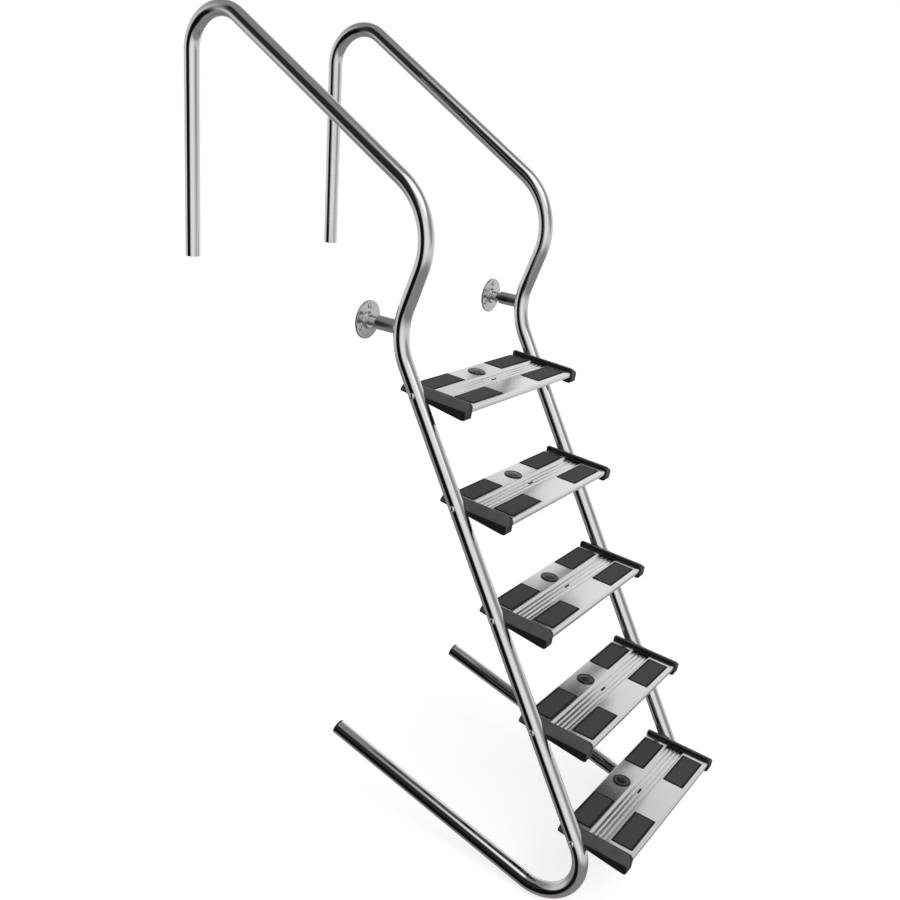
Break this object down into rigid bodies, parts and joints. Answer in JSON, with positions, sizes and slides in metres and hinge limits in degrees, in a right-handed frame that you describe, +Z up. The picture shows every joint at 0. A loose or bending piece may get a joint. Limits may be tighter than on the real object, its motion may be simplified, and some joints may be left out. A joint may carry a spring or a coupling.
{
  "type": "pool ladder",
  "caption": "Inclined swimming pool ladder: two bent stainless side rails with handrails, wall anchors and tails, and deep treads with grip pads and moulded end caps.",
  "frame": {"origin": "under the centre of the ladder's bounding box, on the level of the lowest point of the two bottom bends", "axes": "+X across the ladder, from the left rail to the right one; -Y towards the pool; +Y towards the wall and the deck; +Z up"},
  "size_m": [0.64, 1.4489, 1.9104],
  "materials": {
    "rail_tube": "mirror polished stainless steel tube",
    "anchor_steel": "polished stainless steel",
    "fastener_steel": "plain stainless steel",
    "tread_steel": "pressed stainless sheet, satin to bright",
    "cap_plastic": "moulded dark grey plastic, slight sheen",
    "grip_rubber": "dark anti-slip rubber with a fine relief",
    "badge_plastic": "plain dark disc",
    "plug_rubber": "dark rubber"
  },
  "bodies": {
    "root": {"rail_left": "rail_tube", "tail_plug_left": "plug_rubber", "anchor_flange_left": "anchor_steel", "anchor_rod_left": "anchor_steel", "anchor_socket_left": "anchor_steel", "flange_screw_left_1": "fastener_steel", "flange_screw_left_2": "fastener_steel", "flange_screw_left_3": "fastener_steel", "rail_right": "rail_tube", "tail_plug_right": "plug_rubber", "anchor_flange_right": "anchor_steel", "anchor_rod_right": "anchor_steel", "anchor_socket_right": "anchor_steel", "flange_screw_right_1": "fastener_steel", "flange_screw_right_2": "fastener_steel", "flange_screw_right_3": "fastener_steel", "tread_1_plate": "tread_steel", "tread_1_badge": "badge_plastic", "tread_1_cap_left": "cap_plastic", "tread_1_grip_left": "grip_rubber", "tread_1_bolt_left": "fastener_steel", "tread_1_cap_right": "cap_plastic", "tread_1_grip_right": "grip_rubber", "tread_1_bolt_right": "fastener_steel", "tread_2_plate": "tread_steel", "tread_2_badge": "badge_plastic", "tread_2_cap_left": "cap_plastic", "tread_2_grip_left": "grip_rubber", "tread_2_bolt_left": "fastener_steel", "tread_2_cap_right": "cap_plastic", "tread_2_grip_right": "grip_rubber", "tread_2_bolt_right": "fastener_steel", "tread_3_plate": "tread_steel", "tread_3_badge": "badge_plastic", "tread_3_cap_left": "cap_plastic", "tread_3_grip_left": "grip_rubber", "tread_3_bolt_left": "fastener_steel", "tread_3_cap_right": "cap_plastic", "tread_3_grip_right": "grip_rubber", "tread_3_bolt_right": "fastener_steel", "tread_4_plate": "tread_steel", "tread_4_badge": "badge_plastic", "tread_4_cap_left": "cap_plastic", "tread_4_grip_left": "grip_rubber", "tread_4_bolt_left": "fastener_steel", "tread_4_cap_right": "cap_plastic", "tread_4_grip_right": "grip_rubber", "tread_4_bolt_right": "fastener_steel", "tread_5_plate": "tread_steel", "tread_5_badge": "badge_plastic", "tread_5_cap_left": "cap_plastic", "tread_5_grip_left": "grip_rubber", "tread_5_bolt_left": "fastener_steel", "tread_5_cap_right": "cap_plastic", "tread_5_grip_right": "grip_rubber", "tread_5_bolt_right": "fastener_steel"}
  },
  "joints": []
}
